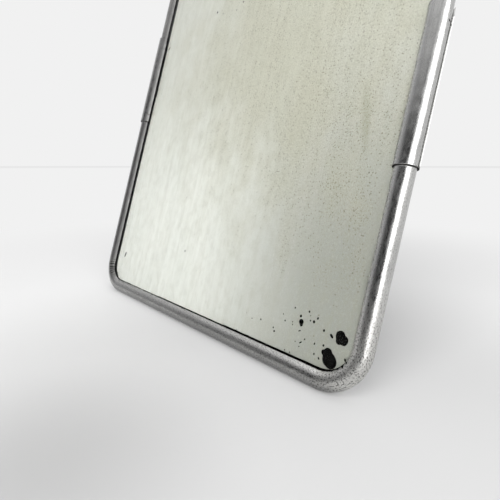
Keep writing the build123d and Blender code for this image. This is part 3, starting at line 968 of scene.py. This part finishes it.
def patch_outline(lobes, points):
    """Outline round overlapping lobes, as seen from the first one's centre."""
    centre_x, centre_y = lobes[0][0], lobes[0][1]
    outline = []
    for k in range(points):
        turn = 2 * pi * k / points
        ray = Vector((cos(turn), sin(turn)))
        far = 0.0
        for x, y, radius in lobes:
            to_lobe = Vector((x - centre_x, y - centre_y))
            ahead = to_lobe.dot(ray)
            beside = to_lobe.length_squared - ahead * ahead
            if beside < radius * radius:
                far = max(far, ahead + sqrt(radius * radius - beside))
        far *= 1.0 + 0.05 * noise.noise(Vector((centre_x * 3.1 + ray.x * 2.4, centre_y + ray.y * 2.4, 0.3)))
        outline.append(Vector((centre_x, centre_y)) + ray * far)
    return outline


def spot_outline(across, up, long_side, wide_side, tilt, points=14):
    """Outline of one small bare spot with an uneven edge."""
    turn = Matrix.Rotation(radians(-tilt), 2)
    outline = []
    for k in range(points):
        angle = 2 * pi * k / points
        edge = 1.0 + 0.16 * noise.noise(Vector((across + cos(angle) * 1.3, up + sin(angle) * 1.3, 1.7)))
        point = Vector((cos(angle) * wide_side, sin(angle) * long_side)) * (0.6 * edge)
        outline.append(Vector((across, up)) + turn @ point)
    return outline


def border_shift(point, half):
    """How much further in the silver ends at the left, and further out at bottom and right."""
    s = sizes()
    at_left = min(1.0, max(0.0, (point.y - s.silver_border) / 0.008)) * (point.x < 0.01 - half)
    extra = s.left_border_extra * (1.7 if point.y > s.border_step_height else 1.0)
    step_out = 0.00025
    at_right = step_out * (point.x > half - 0.006)
    steps_to_left = (point.x < 0.25 * half) + (point.x < -0.35 * half)
    at_bottom = step_out * steps_to_left * (point.y < 0.006)
    return Vector((at_left * extra + at_right, -at_bottom, 0))


def silver_outlines():
    """Outer edge of the sound silver and the outlines of its bare spots, in metres."""
    s = sizes()
    half, height = frame_axes()
    border = s.silver_border
    edge = rounded_outline(half - border, border, height - border, s.bend_radius - border, 0.0006)
    uneven = []
    for point in edge:
        inward = (Vector((0, height / 2, 0)) - point).normalized()
        bite = 0.00012 * noise.noise(Vector((point.x, point.y, 0)) / 0.004)
        speck = noise.noise(Vector((point.x, point.y, 0.02)) / 0.0011) - 0.42
        uneven.append(point + inward * (bite + 0.0016 * max(0.0, speck)) + border_shift(point, half))
    outlines = [[Vector((p.x, p.y)) for p in uneven]]

    def placed(outline):
        return [Vector((half - p.x * 0.001, p.y * 0.001)) for p in outline]

    outlines += [placed(patch_outline(lobes, 64)) for lobes in BARE_PATCHES]
    outlines += [placed(spot_outline(*spot)) for spot in BARE_SPOTS]
    return outlines


def make_glass_and_silver():
    """Glass pane, the silver with its bare spots, and the black card that shows through them."""
    s = sizes()
    curve = bpy.data.curves.new("silver_outline", "CURVE")
    curve.dimensions = "2D"
    curve.fill_mode = "BOTH"
    curve.extrude = s.silver_thickness / 2
    for outline in silver_outlines():
        spline = curve.splines.new("POLY")
        spline.points.add(len(outline) - 1)
        for point, place in zip(spline.points, outline):
            point.co = (place.x, place.y, 0.0, 1.0)
        spline.use_cyclic_u = True
    sheet = new_piece("silver_sheet", curve)
    graph = bpy.context.evaluated_depsgraph_get()
    mesh = bpy.data.meshes.new_from_object(sheet.evaluated_get(graph), depsgraph=graph)
    bpy.data.objects.remove(sheet)
    faces_outwards(mesh)
    middle = s.silver_depth + s.silver_thickness / 2
    mesh.transform(mirror_matrix() @ Matrix.Translation((0, 0, -middle)))
    piece = new_piece("old_silver", mesh, old_silver("Old silvering"))
    shade_edges(mesh, 30.0)
    hand_over(piece, "mirror", ["silver_coat"])
    repaint("glass_pane", clear_glass("Clear glass"))
    repaint("backing_card", black_card("Black card"))


def repaint(node, material):
    """Gives a carried-over node its finish."""
    piece = frame["nodes"][node]
    piece.data.materials.clear()
    piece.data.materials.append(material)


def loft(name, loops, matrix):
    """Closed mesh through loops of equal count, its first and last loops filled."""
    shell = bmesh.new()
    rings = [[shell.verts.new(point) for point in loop] for loop in loops]
    count = len(rings[0])
    for ring, following in zip(rings, rings[1:]):
        for k in range(count):
            after = (k + 1) % count
            shell.faces.new((ring[k], ring[after], following[after], following[k]))
    shell.faces.new(list(reversed(rings[0])))
    shell.faces.new(rings[-1])
    mesh = finished(shell, name)
    mesh.transform(matrix)
    shade_edges(mesh, 30.0)
    return mesh


def plate_loop(inset, depth, radius):
    """Loop of the back plate at an inset from the tube's axis, with a fixed count of points."""
    half, height = frame_axes()
    loop = []
    corner_steps, side_steps = 12, 10
    centres = (
        (half - inset - radius, inset + radius, -pi / 2),
        (half - inset - radius, height - inset - radius, 0.0),
        (inset + radius - half, height - inset - radius, pi / 2),
        (inset + radius - half, inset + radius, pi),
    )
    for k, (x, y, start) in enumerate(centres):
        for j in range(corner_steps + 1):
            turn = start + pi / 2 * j / corner_steps
            loop.append(Vector((x + radius * cos(turn), y + radius * sin(turn), depth)))
        next_x, next_y, next_start = centres[(k + 1) % 4]
        last = loop[-1]
        target = Vector((next_x + radius * cos(next_start), next_y + radius * sin(next_start), depth))
        loop += [last.lerp(target, j / side_steps) for j in range(1, side_steps)]
    return loop


def make_back_plate():
    """Pressed back plate: a flat border and a raised panel with soft edges."""
    s = sizes()
    # The slope is as wide as it is high, and its two bends are softened over a short distance
    rise = slope_width = s.panel_rise
    soften, steps = 0.0007, 8

    def depth_at(inset):
        """Height of the pressed sheet, with both bends of the slope rounded."""
        share = (inset - s.panel_border + soften) / (slope_width + 2 * soften)
        share = min(1.0, max(0.0, share))
        return rise * share * share * (3 - 2 * share)

    insets = [s.sheet_inset, s.panel_border - soften]
    insets += [s.panel_border - soften + (slope_width + 2 * soften) * k / steps for k in range(1, steps + 1)]
    insets.append(s.panel_border + 0.012)

    def corner(inset):
        if inset <= s.panel_border - soften:
            blend = (inset - s.sheet_inset) / (s.panel_border - soften - s.sheet_inset)
            return (s.bend_radius - s.sheet_inset) * (1 - blend) + (s.panel_corner + soften) * blend
        return max(0.001, s.panel_corner - (inset - s.panel_border))

    back = [
        plate_loop(i, -s.plate_front - s.plate_thickness - depth_at(i), corner(i)) for i in insets
    ]
    front = [plate_loop(i, -s.plate_front - depth_at(i), corner(i)) for i in insets]
    mesh = loft("pressed_back", list(reversed(front)) + back, mirror_matrix())
    metal = sheet_metal("Dull tinned sheet", finish().tinned, 0.42, 0.5)
    piece = new_piece("pressed_back", mesh, metal)
    hand_over(piece, "mirror", ["back_plate"])


def softened_copy(node, name, material, body):
    """Copy of a stamped piece whose edges are rounded over."""
    mesh = frame["nodes"][node].data.copy()
    shell = bmesh.new()
    shell.from_mesh(mesh)
    bmesh.ops.remove_doubles(shell, verts=shell.verts, dist=2e-6)
    bmesh.ops.dissolve_limit(
        shell, angle_limit=radians(1.0), verts=shell.verts, edges=shell.edges
    )
    shell.to_mesh(mesh)
    shell.free()
    for attribute_name in ("custom_normal", "sharp_face", "sharp_edge"):
        if attribute_name in mesh.attributes:
            mesh.attributes.remove(mesh.attributes[attribute_name])
    piece = new_piece(name, mesh, material)
    bevel = piece.modifiers.new("Rounding", "BEVEL")
    bevel.width = sizes().edge_round
    bevel.segments = 2
    bevel.limit_method = "ANGLE"
    bevel.angle_limit = radians(40.0)
    mesh = baked(piece)
    shade_edges(mesh, 35.0)
    hand_over(piece, body, [node])


def wire_line(name, corners, radii, closed=False):
    """Line of a bent wire, with the marks that the sweep reads."""
    points, marks, bends = rounded_path(corners, radii, 0.0015, 0.00045, closed)
    zeros = [0.0] * len(points)
    values = {"along": marks}
    values.update({key: zeros for key in ("folded", "nick", "mouth", "end_shade", "cutback", "lip_wear")})
    return line_mesh(name, points, closed, values)


def make_stand():
    """Folding stand of bent wire, and the bracket that it turns in."""
    s = sizes()
    radius = s.wire_diameter / 2
    hinge = joint_place("stand_fold")
    low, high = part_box("stand_wire")
    foot = Vector((0, high.y - radius, low.z + radius))
    down = (foot - hinge).normalized()
    matrix = Matrix((ACROSS, -down, ACROSS.cross(-down))).transposed().to_4x4()
    matrix.translation = hinge
    pin, knee, wide = s.stand_pin_gap / 2, s.stand_knee_width / 2, s.stand_foot_width / 2
    leg = (foot - hinge).length
    corners = [(-pin, 0, 0), (-knee, 0, 0), (-wide, -leg, 0), (wide, -leg, 0), (knee, 0, 0), (pin, 0, 0)]
    radii = [0, s.stand_knee_radius, s.stand_foot_radius, s.stand_foot_radius, s.stand_knee_radius, 0]
    nickel = sheet_metal("Worn nickel wire", finish().nickel, 0.20, 0.9, (0.004, 0.004, 0.004))
    piece = swept(
        "stand_loop", wire_line("stand_line", corners, radii), round_section(s.wire_diameter, 28),
        nickel, matrix, dent_depth=0.00003, dent_size=0.004,
    )
    hand_over(piece, "stand", ["stand_wire"])
    steel = sheet_metal("Dull plated steel", finish().steel, 0.36, 0.8)
    softened_copy("hinge_bracket", "stand_bracket", steel, "mirror")


def make_hanging_ring():
    """Hanging ring and the strap that carries it."""
    s = sizes()
    radius = s.ring_wire / 2
    eye = joint_place("ring_swing")
    low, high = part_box("hanging_ring")
    half = high.x - radius
    drop = high.z - low.z - s.ring_wire
    matrix = Matrix((ACROSS, Vector((0, 0, 1)), Vector((0, -1, 0)))).transposed().to_4x4()
    matrix.translation = eye
    bow = half - s.ring_flat / 2
    corners = [(-half, 0, 0), (half, 0, 0), (half, -drop, 0), (-half, -drop, 0)]
    line = wire_line("ring_line", corners, [s.ring_corner, s.ring_corner, bow, bow], closed=True)
    nickel = sheet_metal("Worn nickel ring", finish().nickel, 0.20, 0.9, (0.004, 0.004, 0.004))
    piece = swept("ring_loop", line, round_section(s.ring_wire, 24), nickel, matrix)
    hand_over(piece, "ring", ["hanging_ring"])
    steel = sheet_metal("Dull plated strap", finish().steel, 0.34, 0.9)
    softened_copy("ring_strap", "ring_tongue", steel, "mirror")


def rivet_tree():
    """Node tree that sets a hammered rivet at each given point."""
    tree, graph, given = new_tree(
        "Rivets", ("Rivet", "Object"), ("Uneven", "Float"), ("Seed", "Int"), ("Material", "Material")
    )
    model = graph.add("GeometryNodeObjectInfo", {"Object": given["Rivet"]}).outputs["Geometry"]
    inputs = {"Min": (0.0, 0.0, 0.0), "Max": (0.0, 0.0, 2 * pi), "Seed": given["Seed"]}
    turn = graph.add("FunctionNodeRandomValue", inputs, data_type="FLOAT_VECTOR").outputs["Value"]
    inputs = {"Points": given["Geometry"], "Instance": model, "Rotation": turn}
    heads = graph.add("GeometryNodeInstanceOnPoints", inputs).outputs["Instances"]
    heads = graph.add("GeometryNodeRealizeInstances", {"Geometry": heads}).outputs["Geometry"]
    position = graph.add("GeometryNodeInputPosition").outputs["Position"]
    blows = graph.math("SUBTRACT", graph.noise(position, 0.0016, 1.0), 0.5)
    normal = graph.add("GeometryNodeInputNormal").outputs["Normal"]
    offset = graph.resized(normal, graph.times(blows, given["Uneven"]))
    heads = graph.add("GeometryNodeSetPosition", {"Geometry": heads, "Offset": offset}).outputs["Geometry"]
    tree_end(graph, heads, given["Material"])
    return tree


def turned_rivet(name, shank, head, head_height, tail, tail_height, grip):
    """Rivet as one turned mesh: domed head above its seat at Z = 0, shank and clinched tail."""
    sides = 28
    profile = []
    dome = (head * head / 4 + head_height * head_height) / (2 * head_height)
    for k in range(8):
        share = k / 8
        radius = head / 2 * share
        profile.append((radius, head_height - dome + sqrt(dome * dome - radius * radius)))
    profile += [(head / 2, 0.00012), (head / 2 - 0.00008, 0.0), (shank / 2, 0.0), (shank / 2, -grip)]
    profile += [(tail / 2, -grip), (tail / 2, -grip - tail_height * 0.7)]
    profile += [(tail / 2 - tail_height * 0.5, -grip - tail_height), (0.0, -grip - tail_height)]
    shell = bmesh.new()
    rings = []
    for radius, z in profile:
        if radius < 1e-9:
            rings.append([shell.verts.new((0, 0, z))])
            continue
        turns = [2 * pi * k / sides for k in range(sides)]
        rings.append([shell.verts.new((radius * cos(a), radius * sin(a), z)) for a in turns])
    for ring, following in zip(rings, rings[1:]):
        for k in range(sides):
            after = (k + 1) % sides
            corners = [ring[k % len(ring)], ring[after % len(ring)]]
            corners += [following[after % len(following)], following[k % len(following)]]
            shell.faces.new(list(dict.fromkeys(corners)))
    return finished(shell, name)


def make_rivets():
    """Rivets of the bracket and of the ring's strap."""
    s = sizes()
    matrix = mirror_matrix()
    metal = sheet_metal("Aluminium rivets", finish().aluminium, 0.32, 0.0, (0.001, 0.001, 0.001))
    kinds = (
        ("hinge_rivets", "bracket_rivets", 0.003, 0.0055, 0.0012, 0.005, 0.0006, 2, 0.0010),
        ("strap_rivets", "tongue_rivets", 0.0022, 0.004, 0.0009, 0.004, 0.0006, 1, 0.0008),
    )
    panel_back = s.plate_front + s.plate_thickness + s.panel_rise
    # Node, piece, shank, head and its height, tail and its height, columns, sheet that is held
    for node, name, shank, head, head_height, tail, tail_height, columns, carrier in kinds:
        low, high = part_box(node)
        half_x = (high.x - low.x - head) / 2
        seat = panel_back + carrier
        verts = [matrix.inverted() @ v.co for v in frame["nodes"][node].data.vertices]
        bottom, top = min(v.y for v in verts) + head / 2, max(v.y for v in verts) - head / 2
        across = (-half_x, half_x) if columns == 2 else (0.0,)
        places = [Vector((x, y, -seat)) for x in across for y in (bottom, top)]
        points = line_mesh(name, places, False, {})
        grip = carrier + s.plate_thickness
        model_mesh = turned_rivet(name + "_model", shank, head, head_height, tail, tail_height, grip)
        model_mesh.transform(Matrix.Rotation(pi, 4, "X"))
        model = new_piece(name + "_model", model_mesh)
        piece = new_piece(name, points)
        values = {"Rivet": model, "Uneven": 0.00012, "Seed": studio().seed, "Material": metal}
        with_inputs(piece, shared_tree("Rivets", rivet_tree), values)
        settle(piece, model, matrix, 32.0)
        hand_over(piece, "mirror", [node])


def seen_share(graph):
    """One for rays that come from the camera, off metal or through glass."""
    paths = graph.add("ShaderNodeLightPath").outputs
    share = graph.math("ADD", paths["Is Camera Ray"], paths["Is Glossy Ray"])
    return graph.math("ADD", share, paths["Is Transmission Ray"], clamp=True)


def light_room(world):
    """Plain pale backdrop, which gives less light than it shows."""
    world.use_nodes = True
    world.node_tree.nodes.clear()
    graph = Graph(world.node_tree)
    colour_seen = rgba(studio().backdrop)
    inputs = {"Color": colour_seen, "Strength": studio().room_light}
    soft = graph.add("ShaderNodeBackground", inputs).outputs[0]
    plain = graph.add("ShaderNodeBackground", {"Color": colour_seen, "Strength": 1.0}).outputs[0]
    mixed = graph.add("ShaderNodeMixShader", {0: seen_share(graph), 1: soft, 2: plain})
    graph.add("ShaderNodeOutputWorld", {"Surface": mixed.outputs[0]})


def lamp(name, azimuth, rise, distance, size, power, roll=0.0, mirrored=True):
    """Large soft lamp turned to the mirror, its sides rolled by an angle, seen in metal or not."""
    light = bpy.data.lights.new(name, "AREA")
    light.shape = "RECTANGLE"
    light.size, light.size_y = size
    light.energy = power
    holder = new_piece(name, light)
    turn, lift = radians(azimuth), radians(rise)
    away = Vector((cos(turn) * cos(lift), -sin(turn) * cos(lift), sin(lift)))
    holder.location = LAMP_TARGET + away * distance
    facing = (-away).to_track_quat("-Z", "Y").to_matrix()
    holder.rotation_euler = (facing @ Matrix.Rotation(radians(roll), 3, "Z")).to_euler()
    holder.visible_camera = False
    holder.visible_glossy = mirrored


def floor_finish(name):
    """Pale table, dimmer close to the camera, that passes into the plain backdrop far away."""
    setup = studio()
    material, graph, shader = new_material(name)
    place = object_metres(graph)
    from_camera = graph.vector("DISTANCE", place, DIM_PLACE, output="Value")
    from_patch = graph.vector("DISTANCE", place, DARK_PLACE, output="Value")
    from_mirror = graph.vector("LENGTH", place, output="Value")
    cloud = graph.remap(graph.noise(place, 0.3, 2.0), 0.3, 0.7)
    # Painted shade: the table's colour is darker near the camera, most of all in a narrow patch
    near = rgba(setup.floor, setup.near_dimming)
    shade = graph.mix(graph.remap(from_camera, 0.10, 0.24), near, rgba(setup.floor))
    shade = graph.mix(graph.remap(from_patch, 0.0, 0.07), rgba(near, 0.6), shade)
    shade = graph.coats(shade, (cloud, 0.12, rgba(setup.floor, 0.95)))
    graph.fill(shader, {"Base Color": shade, "Roughness": 0.6, "Specular IOR Level": 0.2})
    far_line = graph.remap(from_mirror, 9.0, 15.0)
    glow = graph.mix(far_line, rgba(setup.backdrop), rgba(setup.backdrop, 0.91))
    backdrop = graph.add("ShaderNodeEmission", {"Color": glow, "Strength": 1.0}).outputs[0]
    far = graph.times(graph.remap(from_mirror, 0.02, 0.42), seen_share(graph))
    surface_mix(graph, far, shader.outputs["BSDF"], backdrop)
    return material


def dark_card(name, from_azimuth, to_azimuth, distance, height):
    """Curved card seen only in reflections: dark, paler towards its far end, thin at the edges."""
    columns, rows = 40, 14
    shell = bmesh.new()
    thinning = shell.verts.layers.float.new("thinning")
    paleness = shell.verts.layers.float.new("paleness")
    for k in range(columns + 1):
        turn = radians(from_azimuth + (to_azimuth - from_azimuth) * k / columns)
        for j in range(rows + 1):
            place = (cos(turn) * distance, -sin(turn) * distance, height * j / rows)
            vert = shell.verts.new(place)
            vert[paleness] = min(1.0, max(0.0, (k / columns - 0.38) / 0.35))
            vert[thinning] = min(1.0, max(0.0, (k / columns - 0.6) / 0.4, (j / rows - 0.5) / 0.5))
    shell.verts.ensure_lookup_table()
    for k in range(columns):
        for j in range(rows):
            first = k * (rows + 1) + j
            corners = (first, first + rows + 1, first + rows + 2, first + 1)
            shell.faces.new([shell.verts[c] for c in corners])
    material, graph, shader = new_material(name)
    # Its far part glows a little, as painted light for a paler part of the room
    pale = graph.remap(attribute(graph, "paleness"), 0.0, 1.0)
    graph.fill(shader, {
        "Base Color": (0.015, 0.015, 0.016, 1.0),
        "Roughness": 0.9,
        "Emission Color": (0.5, 0.5, 0.51, 1.0),
        "Emission Strength": graph.times(pale, 0.8),
    })
    clear = graph.add("ShaderNodeBsdfTransparent").outputs[0]
    thin = graph.remap(attribute(graph, "thinning"), 0.0, 1.0)
    surface_mix(graph, thin, shader.outputs["BSDF"], clear)
    card = new_piece(name, finished(shell, name), material)
    card.visible_camera = card.visible_diffuse = False
    card.visible_transmission = card.visible_shadow = False


def make_studio():
    """Floor, lamps, room light and the camera at the photograph's viewing angle."""
    setup = studio()
    scene = bpy.context.scene
    scene.view_settings.view_transform = "Standard"
    shell = bmesh.new()
    bmesh.ops.create_circle(shell, cap_ends=True, segments=96, radius=28.0)
    table = new_piece("table_top", finished(shell, "table_top"), floor_finish("Pale table"))
    scene.world = bpy.data.worlds.new("Room")
    light_room(scene.world)
    dark_card("dark_card", from_azimuth=50.0, to_azimuth=200.0, distance=1.0, height=1.5)
    lamp(
        "window_lamp", azimuth=26.0, rise=22.0, distance=1.2, size=(0.6, 1.4),
        power=setup.window_power, roll=-50.0,
    )
    lamp(
        "front_lamp", azimuth=74.0, rise=36.0, distance=1.3, size=(0.8, 1.0),
        power=setup.front_power, mirrored=False,
    )
    lamp(
        "top_lamp", azimuth=250.0, rise=78.0, distance=1.5, size=(1.6, 1.6),
        power=setup.top_power,
    )
    view = bpy.data.cameras.new("camera")
    view.lens = setup.focal_length
    view.sensor_width = 36.0
    view.clip_start = 0.01
    holder = new_piece("camera", view)
    holder.location = CAMERA_PLACE
    holder.rotation_euler = (pi / 2 - radians(CAMERA_PITCH), 0.0, radians(CAMERA_YAW))
    scene.camera = holder


class MIRROR_OT_frame_tubes(bpy.types.Operator):
    """Make both halves of the slit tube frame"""

    bl_idname = "mirror.frame_tubes"
    bl_label = "Frame tubes"
    bl_options = {"REGISTER", "UNDO"}

    def execute(self, context):
        make_frame_tubes()
        return {"FINISHED"}


class MIRROR_OT_sleeves(bpy.types.Operator):
    """Make the two split sleeves"""

    bl_idname = "mirror.sleeves"
    bl_label = "Sleeves"
    bl_options = {"REGISTER", "UNDO"}

    def execute(self, context):
        make_sleeves()
        return {"FINISHED"}


class MIRROR_OT_glass_and_silver(bpy.types.Operator):
    """Make the silver and finish the glass and the card"""

    bl_idname = "mirror.glass_and_silver"
    bl_label = "Glass and silver"
    bl_options = {"REGISTER", "UNDO"}

    def execute(self, context):
        make_glass_and_silver()
        return {"FINISHED"}


class MIRROR_OT_back_plate(bpy.types.Operator):
    """Make the pressed back plate"""

    bl_idname = "mirror.back_plate"
    bl_label = "Back plate"
    bl_options = {"REGISTER", "UNDO"}

    def execute(self, context):
        make_back_plate()
        return {"FINISHED"}


class MIRROR_OT_stand(bpy.types.Operator):
    """Make the wire stand and its bracket"""

    bl_idname = "mirror.stand"
    bl_label = "Stand"
    bl_options = {"REGISTER", "UNDO"}

    def execute(self, context):
        make_stand()
        return {"FINISHED"}


class MIRROR_OT_hanging_ring(bpy.types.Operator):
    """Make the hanging ring and its strap"""

    bl_idname = "mirror.hanging_ring"
    bl_label = "Hanging ring"
    bl_options = {"REGISTER", "UNDO"}

    def execute(self, context):
        make_hanging_ring()
        return {"FINISHED"}


class MIRROR_OT_rivets(bpy.types.Operator):
    """Make the rivets of bracket and strap"""

    bl_idname = "mirror.rivets"
    bl_label = "Rivets"
    bl_options = {"REGISTER", "UNDO"}

    def execute(self, context):
        make_rivets()
        return {"FINISHED"}


class MIRROR_OT_studio(bpy.types.Operator):
    """Make floor, lights and camera"""

    bl_idname = "mirror.studio"
    bl_label = "Studio"
    bl_options = {"REGISTER", "UNDO"}

    def execute(self, context):
        make_studio()
        return {"FINISHED"}


OPERATORS = (
    MIRROR_OT_frame_tubes,
    MIRROR_OT_sleeves,
    MIRROR_OT_glass_and_silver,
    MIRROR_OT_back_plate,
    MIRROR_OT_stand,
    MIRROR_OT_hanging_ring,
    MIRROR_OT_rivets,
    MIRROR_OT_studio,
)


class MIRROR_PT_pieces(bpy.types.Panel):
    """Lists the steps that make the mirror, with its sizes and colours"""

    bl_label = "Barber mirror"
    bl_space_type = "VIEW_3D"
    bl_region_type = "UI"
    bl_category = "Barber mirror"

    def draw(self, context):
        for step in OPERATORS:
            self.layout.operator(step.bl_idname)
        for group in (sizes(), finish(), studio()):
            box = self.layout.box()
            for name in group.__annotations__:
                box.prop(group, name)


CLASSES = (MirrorSizes, MirrorFinish, StudioSettings, *OPERATORS, MIRROR_PT_pieces)


def register():
    for made in CLASSES:
        bpy.utils.register_class(made)
    bpy.types.Scene.mirror_sizes = PointerProperty(type=MirrorSizes)
    bpy.types.Scene.mirror_finish = PointerProperty(type=MirrorFinish)
    bpy.types.Scene.mirror_studio = PointerProperty(type=StudioSettings)


def unregister():
    del bpy.types.Scene.mirror_studio
    del bpy.types.Scene.mirror_finish
    del bpy.types.Scene.mirror_sizes
    for made in reversed(CLASSES):
        bpy.utils.unregister_class(made)


def main():
    register()
    bpy.ops.mirror.frame_tubes()
    bpy.ops.mirror.sleeves()
    bpy.ops.mirror.glass_and_silver()
    bpy.ops.mirror.back_plate()
    bpy.ops.mirror.stand()
    bpy.ops.mirror.hanging_ring()
    bpy.ops.mirror.rivets()
    bpy.ops.mirror.studio()


if __name__ == "__main__":
    main()
